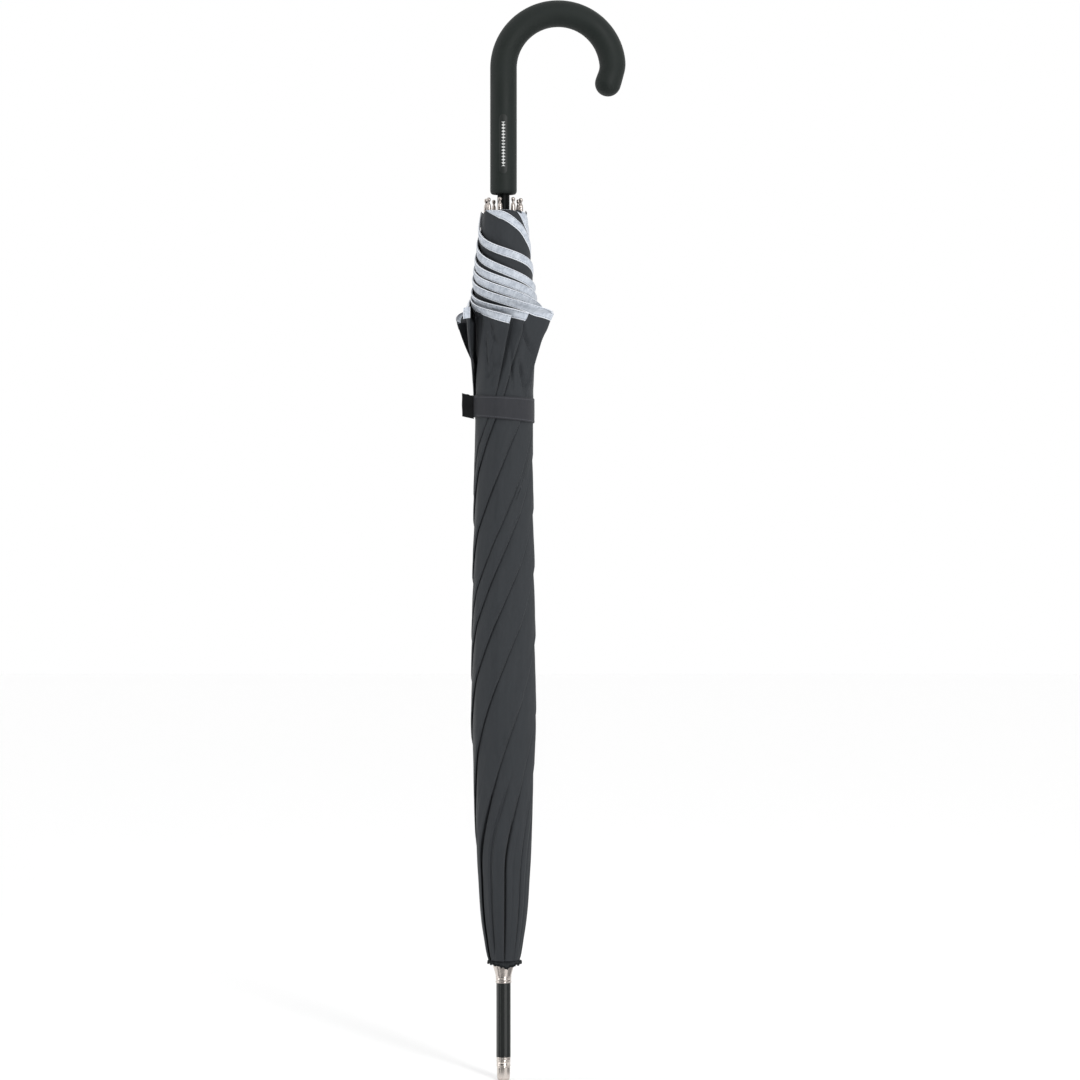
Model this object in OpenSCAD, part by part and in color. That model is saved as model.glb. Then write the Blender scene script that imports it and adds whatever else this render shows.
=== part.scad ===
// Stick umbrella, furled, with a crook handle and eight hinged ribs.
// It stands on its ferrule end: +Z runs up the shaft to the handle, +X is the way the hook bends.

/* [Overall] */
// Length from the ferrule end to the top of the hook
overall_l = 890; // [860:5:930]
// Outer radius of the shaft tube
shaft_r = 5; // [4.9:0.05:5.1]
// Wall of the shaft tube
shaft_wall = 0.8; // [0.6:0.1:1.0]

/* [Ferrule] */
// Outer radius of the ferrule tube over the shaft's lower end
ferrule_r = 6; // [5.9:0.05:6.1]
// Length of the metal ferrule tip
tip_l = 19; // [15:1:22]
// Height of the lower edge of the crown collar
collar_z = 80; // [76:1:82]
// Length of the crown collar
collar_l = 14; // [12:1:15]

/* [Ribs] */
// Number of ribs
rib_n = 8; // [8:1:8]
// Bearing of the first rib from the hook side
rib_phase = 213.75; // [213.75:45:303.75]
// Height of the hub's hinge circle
hub_z = 104; // [103:0.5:105]
// Radius of the hinge circles on the hub and the runner
hinge_r = 7.5; // [7.4:0.1:7.6]
// Distance from the hub to the stretcher joint, equal to the stretcher's own length
link_l = 290; // [285:1:292]
// Distance from the hub to the joint of the springy outer rib
bend_s = 380; // [370:1:390]
// Distance from the hub to the ball of the rib tip
rib_l = 621; // [615:1:622]
// Radius of the stretcher joints from the shaft's axis when furled
joint_r = 10.8; // [10.6:0.1:11.2]
// Opening angle of the ribs
open_deg = 76; // [70:1:78]

/* [Handle] */
// Height of the grip's lower end
grip_z = 730; // [728:1:736]
// Radius of the grip and of the hook's bar
grip_r = 11; // [10:0.5:12]
// Centreline radius of the hook
hook_r = 45; // [42:1:48]
// Degrees that the hook's bar carries on past its outermost point
hook_past = 17; // [12:1:20]
// Length of the blank label plate
label_l = 49; // [40:1:52]

/* [Canopy] */
// Radius of the furled canopy under the strap
waist_r = 24.6; // [24:0.1:25]
// Radius of the furled canopy at the fold corners
corner_r = 39.6; // [36:0.2:41]
// Height of the fold corners
corner_z = 626; // [620:1:632]
// Lower edge of the strap
strap_z = 543; // [540:1:550]
// Width of the strap
strap_w = 20; // [16:1:24]

/* [Hidden] */
$fn = 48;
fit = 0.05;                                       // radial clearance of every running fit
bore_r = shaft_r - shaft_wall;
lean = asin((joint_r - hinge_r) / link_l);        // lean of a furled rib from the shaft
runner_z = hub_z + 2 * link_l * cos(lean);        // hinge circle of the runner, furled
open_z = hub_z + 2 * link_l * cos(lean + open_deg);
wire_r = 0.6;                                     // hinge pins and rivets
pin_l = 5.2;
eye_r = 1.2;
eye_w = 1.8;
slot_w = 2.8;
notch_r = 9.4;
notch_up = 2;                                     // notch above its hinge circle
notch_down = 3.3;
chan_w = 3.2;                                     // rib channel: width, inner width, inner and outer faces
chan_in = 2.4;
chan_low = -1.2;
chan_web = 1.45;
chan_top = 1.9;
chan_s = 3;                                       // channel starts this far from the hub hinge
rod_w = 2.6;
rod_in = 1.6;
rod_low = -0.9;
rod_web = 0.9;
rod_top = 1.35;
rod_end = rib_l - 13;
sleeve_r = 6.4;
sleeve_l = 26;
window_w = 2.2;                                   // window in the sleeve that a catch's tooth enters
window_z0 = 12;
window_h = 8;
catch_t = 1;
catch_y = -2;
catch_l = 30;
catch_slot = 1.4;
tooth_h = 6.3;
tooth_gap = 0.9;
bottom_pivot_z = runner_z + window_z0 + tooth_gap + tooth_h - catch_l;
top_pivot_z = open_z + window_z0 + tooth_gap + catch_l;
stop_r = 0.9;                                     // pin that stops the runner fully open
stop_z = open_z - notch_up - 2;
pin_r = 0.8;                                      // pin through the crown collar
pin_z = collar_z + 2.6;
pin_turn = -28;
ferrule_top = 97.5;
shaft_z0 = tip_l + 14;                            // the shaft ends inside the ferrule tube
hook_z = overall_l - grip_r - hook_r;             // centre of the hook's bend
handle_bore_top = grip_z + 62;
label_w = 7;
label_z = grip_z + 40.5;
label_in = grip_r - 0.4;
label_out = grip_r + 0.15;
strip_w = 2.6;                                    // furled gore strips along the odd ribs
strip_x0 = 2.1;
strip_x1 = 2.5;
// Height and radius of the furled canopy's outside, from the crown to the hem
canopy_out = [[99, 12.4], [101, 13.6], [107, 15.2], [115, 16.5], [132, 19.2], [148, 20.6], [165, 21.4],
              [181, 22.6], [198, 23.5], [231, 24.7], [264, 25.9], [297, 27.4], [346, 26.8], [395, 26.3],
              [445, 25.5], [478, 25], [strap_z - 6, waist_r], [strap_z + strap_w + 3, waist_r],
              [572, 26.8], [585, 28.2], [598, 31.4], [611, 35.4], [corner_z, corner_r], [630, 36.4],
              [639, 28.8], [656, 25.2], [676, 23], [696, 20.6], [712, 18.6]];
canopy_in0 = 10.4;
canopy_in1 = 17.4;

// Places its children on rib i: X away from the shaft, Y across the rib, Z along it from the hub hinge
module on_rib(i) {
  rotate([0, 0, rib_phase + (i - 1) * 360 / rib_n])
    translate([hinge_r, 0, hub_z]) rotate([0, lean, 0]) children();
}

// Ring of hinge pins, one across each rib's slot
module hinge_ring(z, r, l) {
  for (i = [1 : rib_n])
    rotate([0, 0, rib_phase + (i - 1) * 360 / rib_n])
      translate([hinge_r, 0, z]) rotate([90, 0, 0]) cylinder(h = l, r = r, center = true);
}

// Slots for the eyes, from height z0 to z1
module eye_slots(z0, z1) {
  for (i = [1 : rib_n])
    rotate([0, 0, rib_phase + (i - 1) * 360 / rib_n])
      translate([shaft_r - 1, -slot_w / 2, z0]) cube([notch_r, slot_w, z1 - z0]);
}

// Bar of U section, open towards the shaft
module channel(w, inner, low, web, top, s0, s1) {
  translate([0, 0, s0]) linear_extrude(height = s1 - s0)
    polygon([[low, -w / 2], [top, -w / 2], [top, w / 2], [low, w / 2],
             [low, inner / 2], [web, inner / 2], [web, -inner / 2], [low, -inner / 2]]);
}

module across(r, l, s) {
  translate([0, 0, s]) rotate([90, 0, 0]) cylinder(h = l, r = r, center = true);
}

module rivet(s) {
  across(wire_r, chan_w + 0.9, s);
  for (k = [-1, 1]) translate([0, k * (chan_w / 2 + 0.25), 0]) across(1, 0.5, s);
}

module shaft_tube() {
  color([0.10, 0.10, 0.11]) difference() {
    translate([0, 0, shaft_z0]) cylinder(h = handle_bore_top - shaft_z0, r = shaft_r);
    translate([0, 0, shaft_z0 - 1]) cylinder(h = handle_bore_top - shaft_z0 + 2, r = bore_r);
    // slots that the two catches come out through
    for (z = [runner_z + window_z0 + tooth_gap + tooth_h - catch_l - 4, open_z + window_z0 + tooth_gap - 1])
      translate([-catch_slot / 2, -shaft_r - 1, z]) cube([catch_slot, shaft_r, catch_l + 5]);
    for (z = [bottom_pivot_z, top_pivot_z])
      translate([0, catch_y, z]) rotate([0, 90, 0]) cylinder(h = 20, r = wire_r + 0.02, center = true);
    translate([0, 0, stop_z]) rotate([0, 90, 0]) cylinder(h = 20, r = stop_r + 0.02, center = true);
    translate([0, 0, pin_z]) rotate([90, 0, pin_turn]) cylinder(h = 20, r = pin_r + 0.02, center = true);
  }
}

module ferrule_tube() {
  color([0.10, 0.10, 0.11]) difference() {
    translate([0, 0, tip_l]) cylinder(h = ferrule_top - tip_l, r = ferrule_r);
    translate([0, 0, tip_l - 1]) cylinder(h = ferrule_top - tip_l + 2, r = shaft_r + 0.03);
    translate([0, 0, pin_z]) rotate([90, 0, pin_turn]) cylinder(h = 20, r = pin_r + 0.02, center = true);
  }
}

module ferrule_tip() {
  color([0.80, 0.77, 0.72]) difference() {
    rotate_extrude($fn = 64)
      polygon([[0, 0], [3.9, 0], [4.7, 0.5], [5.2, 1.6], [5.35, 3.2], [5.6, 10.6], [5.6, 11.2], [5.9, 11.4],
               [5.9, 12.2], [5.65, 12.4], [5.65, 15], [5.9, 15.2], [5.9, 16], [5.7, 16.2], [5.85, tip_l],
               [shaft_r, tip_l], [shaft_r, tip_l + 11], [4.2, tip_l + 12], [0, tip_l + 12]]);
    // serrated upper edge
    for (a = [0 : 30 : 330]) rotate([0, 0, a]) translate([5.5, 0, tip_l]) rotate([0, 90, 0])
      cylinder(h = 2, r = 0.7, center = true, $fn = 24);
  }
}

module crown_collar() {
  color([0.82, 0.79, 0.74]) difference() {
    translate([0, 0, collar_z]) rotate_extrude($fn = 64)
      polygon([[ferrule_r + 0.03, 0], [6.7, 0], [6.95, 0.4], [6.95, 1.2], [6.8, 1.4], [6.8, 4], [6.95, 4.2],
               [6.95, 5], [6.8, 5.3], [6.95, 7.5], [7.3, 10], [7.9, 12.6], [8.3, collar_l], [7.4, collar_l],
               [6.9, 12.4], [ferrule_r + 0.03, 10.5]]);
    translate([0, 0, pin_z]) rotate([90, 0, pin_turn]) cylinder(h = 20, r = pin_r + 0.02, center = true);
  }
}

module crown_pin() {
  color([0.70, 0.68, 0.64])
    translate([0, 0, pin_z]) rotate([90, 0, pin_turn]) cylinder(h = 13.9, r = pin_r, center = true);
}

module crown_rosette() {
  z = collar_z + collar_l;
  color([0.13, 0.14, 0.15]) rotate_extrude($fn = 64)
    polygon([[ferrule_r + 0.2, z + 0.3], [8.6, z + 0.3], [14.8, z - 1.2], [14.8, z + 1.2], [12, z + 4.4],
             [ferrule_r + 0.2, z + 4.4]]);
}

module top_notch() {
  color([0.75, 0.74, 0.72]) difference() {
    translate([0, 0, hub_z - notch_down]) cylinder(h = notch_down + notch_up, r = notch_r, $fn = 64);
    translate([0, 0, hub_z - 10]) cylinder(h = 20, r = shaft_r + 0.03, $fn = 64);
    eye_slots(hub_z - notch_down + 1.2, hub_z + 10);
    hinge_ring(hub_z, wire_r + 0.02, pin_l + 0.1);
  }
}

module notch_pins() {
  color([0.72, 0.72, 0.74]) hinge_ring(hub_z, wire_r, pin_l);
}

module runner_stop() {
  color([0.65, 0.65, 0.66])
    translate([0, 0, stop_z]) rotate([0, 90, 0]) cylinder(h = 15, r = stop_r, center = true);
}

module catch_pins() {
  color([0.65, 0.65, 0.66]) for (z = [bottom_pivot_z, top_pivot_z])
    translate([0, catch_y, z]) rotate([0, 90, 0]) cylinder(h = 8.2, r = wire_r, center = true);
}

// Sprung lever with a tooth at its far end: up = 1 points to the handle, -1 to the hub
module catch_lever(z, up) {
  tooth_top = catch_l;
  tooth_low = catch_l - tooth_h;
  translate([0, 0, z]) mirror([0, 0, up < 0 ? 1 : 0]) difference() {
    union() {
      translate([catch_t / 2, 0, 0]) rotate([90, 0, -90]) linear_extrude(height = catch_t)
        polygon([[-catch_y - 1.2, 0], [-catch_y + 2, 2], [-catch_y + 2.2, tooth_low - 1],
                 [shaft_r - 0.4, tooth_low], [sleeve_r + 1, tooth_top - 1.4], [sleeve_r + 1, tooth_top],
                 [-catch_y, tooth_top], [-catch_y - 1.2, tooth_top - 8]]);
      translate([0, catch_y, 0]) rotate([0, 90, 0]) cylinder(h = catch_t, r = 1.6, center = true);
    }
    translate([0, catch_y, 0]) rotate([0, 90, 0]) cylinder(h = 5, r = wire_r + fit, center = true);
  }
}

module bottom_catch() {
  color([0.72, 0.72, 0.74]) catch_lever(bottom_pivot_z, 1);
}

module top_catch() {
  color([0.72, 0.72, 0.74]) catch_lever(top_pivot_z, -1);
}

module runner_sleeve() {
  color([0.16, 0.17, 0.18]) difference() {
    union() {
      translate([0, 0, runner_z - notch_up]) cylinder(h = notch_up + 1.6, r = notch_r, $fn = 64);
      translate([0, 0, runner_z + 1.6]) cylinder(h = 1.4, r1 = notch_r, r2 = notch_r - 0.8, $fn = 64);
      translate([0, 0, runner_z]) cylinder(h = sleeve_l, r = sleeve_r, $fn = 64);
    }
    translate([0, 0, runner_z - 10]) cylinder(h = sleeve_l + 20, r = shaft_r + fit, $fn = 64);
    eye_slots(runner_z - 10, runner_z + 1.5);
    hinge_ring(runner_z, wire_r + 0.02, pin_l + 0.1);
    translate([-window_w / 2, -sleeve_r - 1, runner_z + window_z0]) cube([window_w, 4, window_h]);
  }
}

module runner_pins() {
  color([0.72, 0.72, 0.74]) hinge_ring(runner_z, wire_r, pin_l);
}

// Inner rib: eye on the hub's wire, channel, stretcher rivet, rivet for the springy end
module rib(i) {
  color([0.55, 0.55, 0.57]) on_rib(i) {
    difference() {
      union() {
        across(eye_r, eye_w, 0);
        translate([-0.9, -eye_w / 2, 0]) cube([1.8, eye_w, chan_s + 2]);
        translate([chan_low, -chan_in / 2 - 0.2, chan_s]) cube([chan_top - chan_low, chan_in + 0.4, 2.4]);
      }
      across(wire_r + fit, 5, 0);
    }
    channel(chan_w, chan_in, chan_low, chan_web, chan_top, chan_s, bend_s - 1.6);
    for (k = [-1, 1]) translate([chan_low, k > 0 ? chan_in / 2 : -chan_w / 2, bend_s - 2])
      cube([2.6, (chan_w - chan_in) / 2, 3.4]);
    rivet(link_l);
    rivet(bend_s);
  }
}

// Springy outer rib
module rod(i) {
  color([0.55, 0.55, 0.57]) on_rib(i) {
    difference() {
      union() {
        across(1.1, eye_w, bend_s);
        translate([-0.8, -eye_w / 2, bend_s]) cube([1.6, eye_w, 6]);
      }
      across(wire_r + fit, 5, bend_s);
    }
    channel(rod_w, rod_in, rod_low, rod_web, rod_top, bend_s + 3.2, rod_end);
    translate([0, 0, rod_end - 6]) cylinder(h = 15, r = 0.9);
  }
}

// Metal tip on the end of a rib
module tip(i) {
  color([0.85, 0.82, 0.78]) on_rib(i) difference() {
    union() {
      translate([0, 0, rod_end + 0.2]) cylinder(h = 8, r = 1.9);
      translate([0, 0, rod_end + 8.2]) cylinder(h = 1.2, r1 = 1.9, r2 = 1.1);
      translate([0, 0, rod_end + 9]) cylinder(h = 4, r = 0.95);
      translate([0, 0, rib_l]) sphere(r = 1.45);
    }
    translate([0, 0, rod_end - 1]) cylinder(h = 10.2, r = 0.93);
  }
}

// Stretcher: eye on the rib's rivet, round bar, eye on the runner's wire
module stretcher(i) {
  color([0.58, 0.58, 0.60]) on_rib(i) translate([0, 0, link_l]) rotate([0, -2 * lean, 0]) difference() {
    union() {
      across(1.1, eye_w, 0);
      cylinder(h = link_l, r = 0.9);
      across(eye_r, eye_w, link_l);
    }
    across(wire_r + fit, 5, 0);
    across(wire_r + fit, 5, link_l);
  }
}

// Furled gore cloth lying along a rib, from s0 to s1
module gore_strip(i, s0, s1) {
  color([0.25, 0.26, 0.27]) on_rib(i)
    translate([strip_x0, -strip_w / 2, s0]) cube([strip_x1 - strip_x0, strip_w, s1 - s0]);
}

module canopy() {
  color([0.26, 0.27, 0.28]) rotate_extrude($fn = 64)
    polygon(concat([[shaft_r + 0.3, 99]], [for (p = canopy_out) [p[1], p[0]]],
                   [[canopy_in1, 712], [canopy_in0, 100.3], [shaft_r + 0.3, 100.3]]));
}

module strap() {
  color([0.20, 0.21, 0.22]) translate([0, 0, strap_z]) difference() {
    cylinder(h = strap_w, r = waist_r + 1.2, $fn = 96);
    translate([0, 0, -1]) cylinder(h = strap_w + 2, r = waist_r + 0.3, $fn = 96);
  }
}

module strap_tab() {
  color([0.08, 0.08, 0.09])
    translate([-waist_r - 9.4, -7.6, strap_z - 2]) rotate([0, 0, 8]) cube([7.9, 1.2, strap_w + 3]);
}

// Flat stadium of length l along Y and width w
module stadium(l, w) {
  for (k = [-1, 1]) translate([0, k * (l - w) / 2]) circle(d = w);
  square([w, l - w], center = true);
}

module hook_handle() {
  color([0.20, 0.21, 0.21]) difference() {
    union() {
      rotate_extrude($fn = 64) translate([0, grip_z])
        polygon([[0, 0], [grip_r - 1.8, 0], [grip_r - 0.8, 0.4], [grip_r - 0.2, 1.2], [grip_r, 2.4],
                 [grip_r, hook_z - grip_z], [0, hook_z - grip_z]]);
      translate([hook_r, 0, hook_z]) rotate([90, 0, 0]) {
        rotate_extrude(angle = 180, $fn = 128) translate([hook_r, 0]) circle(r = grip_r);
        rotate([0, 0, 1 - hook_past + 4]) rotate_extrude(angle = hook_past - 4, $fn = 128)
          translate([hook_r, 0]) circle(r = grip_r - 0.7);
        rotate([0, 0, -hook_past]) translate([hook_r, 0, 0]) sphere(r = grip_r - 0.3, $fn = 64);
      }
    }
    translate([0, 0, grip_z - 1])
      cylinder(h = handle_bore_top - grip_z + 1.1, r = shaft_r + 0.03, $fn = 64);
    translate([0, 0, grip_z - 1]) cylinder(h = 2.6, r = 8.6, $fn = 64);
    // seat of the label plate
    difference() {
      translate([0, 0, label_z]) rotate([90, 0, 0]) linear_extrude(height = grip_r + 2)
        stadium(label_l + 0.2, label_w + 0.2);
      translate([0, 0, grip_z - 1]) cylinder(h = 100, r = label_in, $fn = 64);
    }
  }
}

// Blank plate let into the front of the grip
module label_plate() {
  color([0.62, 0.62, 0.60]) difference() {
    intersection() {
      translate([0, 0, label_z]) rotate([90, 0, 0]) linear_extrude(height = grip_r + 2)
        stadium(label_l, label_w);
      translate([0, 0, grip_z]) cylinder(h = 90, r = label_out, $fn = 64);
    }
    translate([0, 0, grip_z - 1]) cylinder(h = 100, r = label_in + 0.03, $fn = 64);
  }
}

shaft_tube();
ferrule_tube();
ferrule_tip();
crown_collar();
crown_pin();
crown_rosette();
top_notch();
notch_pins();
runner_stop();
catch_pins();
bottom_catch();
top_catch();
runner_sleeve();
runner_pins();
rib(1);  // rib_1
rib(2);  // rib_2
rib(3);  // rib_3
rib(4);  // rib_4
rib(5);  // rib_5
rib(6);  // rib_6
rib(7);  // rib_7
rib(8);  // rib_8
rod(1);  // rod_1
rod(2);  // rod_2
rod(3);  // rod_3
rod(4);  // rod_4
rod(5);  // rod_5
rod(6);  // rod_6
rod(7);  // rod_7
rod(8);  // rod_8
tip(1);  // tip_1
tip(2);  // tip_2
tip(3);  // tip_3
tip(4);  // tip_4
tip(5);  // tip_5
tip(6);  // tip_6
tip(7);  // tip_7
tip(8);  // tip_8
stretcher(1);  // stretcher_1
stretcher(2);  // stretcher_2
stretcher(3);  // stretcher_3
stretcher(4);  // stretcher_4
stretcher(5);  // stretcher_5
stretcher(6);  // stretcher_6
stretcher(7);  // stretcher_7
stretcher(8);  // stretcher_8
gore_strip(1, 10, bend_s - 2);  // gore_in_1
gore_strip(3, 10, bend_s - 2);  // gore_in_3
gore_strip(5, 10, bend_s - 2);  // gore_in_5
gore_strip(7, 10, bend_s - 2);  // gore_in_7
gore_strip(1, bend_s + 2, rod_end - 2);  // gore_out_1
gore_strip(3, bend_s + 2, rod_end - 2);  // gore_out_3
gore_strip(5, bend_s + 2, rod_end - 2);  // gore_out_5
gore_strip(7, bend_s + 2, rod_end - 2);  // gore_out_7
canopy();
strap();
strap_tab();
hook_handle();
label_plate();
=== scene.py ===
import math

import bpy
import numpy as np
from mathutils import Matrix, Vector


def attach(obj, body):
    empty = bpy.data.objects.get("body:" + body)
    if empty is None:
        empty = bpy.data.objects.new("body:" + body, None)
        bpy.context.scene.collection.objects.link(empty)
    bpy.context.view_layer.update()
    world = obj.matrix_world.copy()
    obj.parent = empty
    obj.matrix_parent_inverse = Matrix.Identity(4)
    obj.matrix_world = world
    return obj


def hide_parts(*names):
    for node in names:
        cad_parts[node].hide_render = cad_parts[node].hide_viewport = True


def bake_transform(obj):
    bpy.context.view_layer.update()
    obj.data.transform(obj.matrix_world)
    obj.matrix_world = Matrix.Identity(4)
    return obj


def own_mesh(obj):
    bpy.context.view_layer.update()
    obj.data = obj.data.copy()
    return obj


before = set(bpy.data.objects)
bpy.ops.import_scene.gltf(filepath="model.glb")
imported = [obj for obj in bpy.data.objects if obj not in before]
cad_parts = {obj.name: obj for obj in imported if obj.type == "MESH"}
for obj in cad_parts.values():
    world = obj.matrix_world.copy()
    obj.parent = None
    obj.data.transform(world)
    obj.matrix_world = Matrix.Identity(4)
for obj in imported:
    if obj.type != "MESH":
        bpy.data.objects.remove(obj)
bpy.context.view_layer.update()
MM = 0.001
RAD = math.pi / 180
TURN = 2 * math.pi

# ---------------------------------------------------------------- sizes, mm and radians
HUB_Z, HINGE_R = 104.0, 7.5  # height and radius of the hub's hinge circle
LINK, BEND_S, TIP_S = 290.0, 380.0, 612.0  # along a rib: stretcher joint, start of the rod, hem
JOINT_R = 10.8  # radius of the stretcher joints when furled
LEAN = math.asin((JOINT_R - HINGE_R) / LINK)
OPEN, FLEX = 76 * RAD, 22 * RAD  # swing of a rib and bend of its rod, fully open
PHASE, STEP = 213.75, 45  # bearing of rib 1 and from rib to rib, degrees
HALF_GORE = 22.5 * RAD
HEM_Z = 716.0  # hem at the rib tips
FLARE_Z = 566  # just above the strap, where the furled cloth starts to flare out
BAND = 6.6  # width of the hem tape when furled
TAPE = 7.5  # width of the hem tape on the spread cloth


# ---------------------------------------------------------------- helpers
def bearing(i):
    return (PHASE + (i - 1) * STEP) * RAD


def around(n):
    """n angles evenly round a turn."""
    return np.linspace(0, TURN, n, endpoint=False)


def make(name, verts, faces, mat, uv=None, smooth=True):
    """A mesh object from points in mm."""
    me = bpy.data.meshes.new(name)
    me.from_pydata((np.asarray(verts, float) * MM).tolist(), [], [list(map(int, f)) for f in faces])
    me.polygons.foreach_set("use_smooth", [smooth] * len(me.polygons))
    if uv is not None:
        layer = me.uv_layers.new(name="UVMap")
        corners = np.zeros(len(me.loops), np.int32)
        me.loops.foreach_get("vertex_index", corners)
        layer.data.foreach_set("uv", np.asarray(uv, np.float32)[corners].ravel())
    me.update()
    ob = bpy.data.objects.new(name, me)
    bpy.context.scene.collection.objects.link(ob)
    me.materials.append(mat)
    return ob


def thicken(ob, thickness):
    """Gives a single-sided cloth its thickness in metres, half to each side."""
    solid = ob.modifiers.new("thick", "SOLIDIFY")
    solid.thickness, solid.offset = thickness, 0


def grid_faces(rows, cols, base=0, close_rows=False, close_cols=False, flip=False):
    """Quads over a grid of points whose first point is number base."""
    row, col = np.meshgrid(np.arange(rows if close_rows else rows - 1),
                           np.arange(cols if close_cols else cols - 1), indexing="ij")
    next_row, next_col = (row + 1) % rows, (col + 1) % cols
    corners = [row * cols + col, row * cols + next_col, next_row * cols + next_col, next_row * cols + col]
    quads = np.stack(corners, -1).reshape(-1, 4) + base
    return quads[:, ::-1] if flip else quads


def merged(patches, flip=False):
    """Points, faces and UVs of several grids of points, each with its grid of UVs."""
    verts, faces, uvs, base = [], [], [], 0
    for points, uv in patches:
        rows, cols = points.shape[:2]
        verts.append(points.reshape(-1, 3))
        uvs.append(np.reshape(uv, (-1, 2)))
        faces.append(grid_faces(rows, cols, base, flip=flip))
        base += rows * cols
    return np.concatenate(verts), np.concatenate(faces), np.concatenate(uvs)


def uv_grid(u, v):
    """UV pairs from u and v in metres, spread over one grid."""
    return np.stack(np.broadcast_arrays(u, v), -1).reshape(-1, 2)


def lathe(profile, n=64, close=False):
    """Points and faces of a turned shape about Z; profile is (radius, height)."""
    p, a = np.array(profile, float), around(n)
    x, y = np.outer(p[:, 0], np.cos(a)), np.outer(p[:, 0], np.sin(a))
    verts = np.stack([x, y, np.repeat(p[:, 1:2], n, 1)], -1).reshape(-1, 3)
    return verts, grid_faces(len(p), n, close_rows=close, close_cols=True)


def pchip(x, xs, ys):
    """Monotone cubic through (xs, ys)."""
    x, xs, ys = np.asarray(x, float), np.asarray(xs, float), np.asarray(ys, float)
    h, d = np.diff(xs), np.diff(ys) / np.diff(xs)
    m = np.zeros(len(xs))
    for i in range(1, len(xs) - 1):
        if d[i - 1] * d[i] > 0:
            w1, w2 = 2 * h[i] + h[i - 1], h[i] + 2 * h[i - 1]
            m[i] = (w1 + w2) / (w1 / d[i - 1] + w2 / d[i])
    m[0], m[-1] = d[0], d[-1]
    k = np.clip(np.searchsorted(xs, x) - 1, 0, len(xs) - 2)
    t = np.clip((x - xs[k]) / h[k], 0, 1)
    return (ys[k] * (1 + 2 * t) * (1 - t) ** 2 + h[k] * m[k] * t * (1 - t) ** 2
            + ys[k + 1] * t * t * (3 - 2 * t) + h[k] * m[k + 1] * t * t * (t - 1))


def smooth01(t):
    t = np.clip(t, 0, 1)
    return t * t * (3 - 2 * t)


def bell(x):
    return np.exp(-(x ** 2))


def waves(u, v, seed, n=6, lo=0.02, hi=0.12):
    """A few crossing sine waves over mm coordinates, from -1 to 1."""
    rng = np.random.default_rng(seed)
    total = np.zeros(np.broadcast(u, v).shape)
    for _ in range(n):
        a, f, p = rng.uniform(-0.5, 0.5), rng.uniform(lo, hi), rng.uniform(0, 6.28)
        total = total + np.sin((u * math.cos(a) + v * math.sin(a)) * f * TURN + p)
    return total / n


# ---------------------------------------------------------------- material helpers
def material(name, color, rough=0.6, metal=0.0, **sockets):
    mat = bpy.data.materials.new(name)
    mat.use_nodes = True
    nt = mat.node_tree
    bsdf = nt.nodes["Principled BSDF"]
    bsdf.inputs["Base Color"].default_value = (*color, 1)
    bsdf.inputs["Roughness"].default_value = rough
    bsdf.inputs["Metallic"].default_value = metal
    for socket, value in sockets.items():
        bsdf.inputs[socket.replace("_", " ")].default_value = value
    return mat, nt, bsdf


def coords(nt, kind="Object", scale=(1, 1, 1)):
    source = nt.nodes.new("ShaderNodeTexCoord")
    mapping = nt.nodes.new("ShaderNodeMapping")
    mapping.inputs["Scale"].default_value = scale
    nt.links.new(source.outputs[kind], mapping.inputs["Vector"])
    return mapping.outputs["Vector"]


def noise(nt, vec, scale, detail, rough=0.5):
    n = nt.nodes.new("ShaderNodeTexNoise")
    for socket, value in (("Scale", scale), ("Detail", detail), ("Roughness", rough)):
        n.inputs[socket].default_value = value
    nt.links.new(vec, n.inputs["Vector"])
    return n.outputs["Fac"]


def calc(nt, op, a, c=None):
    """Output of a Math node; a and c are numbers or outputs."""
    n = nt.nodes.new("ShaderNodeMath")
    n.operation = op
    for socket, value in zip(n.inputs, (a, c)):
        if isinstance(value, (int, float)):
            socket.default_value = value
        elif value is not None:
            nt.links.new(value, socket)
    return n.outputs[0]


def times(nt, a, c):
    return calc(nt, "MULTIPLY", a, c)


def wave(nt, along, length):
    """A sine over an output in metres, one period every length metres."""
    return calc(nt, "SINE", times(nt, along, TURN / length))


def separate(nt, vec):
    n = nt.nodes.new("ShaderNodeSeparateXYZ")
    nt.links.new(vec, n.inputs[0])
    return n.outputs


def ramp(nt, fac, stops):
    n = nt.nodes.new("ShaderNodeValToRGB")
    while len(n.color_ramp.elements) < len(stops):
        n.color_ramp.elements.new(0.5)
    for element, (position, color) in zip(n.color_ramp.elements, stops):
        element.position, element.color = position, (*color, 1)
    nt.links.new(fac, n.inputs["Fac"])
    return n.outputs["Color"]


def gloss(nt, bsdf, fac, low, high):
    """Roughness that follows a noise; low and high are (position, roughness)."""
    nt.links.new(ramp(nt, fac, [(p, (r, r, r)) for p, r in (low, high)]), bsdf.inputs["Roughness"])


def paint(nt, share, base, color):
    """Output base with color laid over it by share."""
    n = nt.nodes.new("ShaderNodeMix")
    n.data_type = "RGBA"
    nt.links.new(share, n.inputs[0])
    nt.links.new(base, n.inputs[6])
    n.inputs[7].default_value = (*color, 1)
    return n.outputs[2]


def bump(nt, bsdf, height, strength, dist, under=None):
    n = nt.nodes.new("ShaderNodeBump")
    n.inputs["Strength"].default_value = strength
    n.inputs["Distance"].default_value = dist
    nt.links.new(height, n.inputs["Height"])
    if under is not None:
        nt.links.new(under, n.inputs["Normal"])
    nt.links.new(n.outputs["Normal"], bsdf.inputs["Normal"])
    return n.outputs["Normal"]


def halves(nt, a, c):
    """Half of one noise and half of another."""
    return calc(nt, "ADD", times(nt, a, 0.5), times(nt, c, 0.5))


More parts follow.
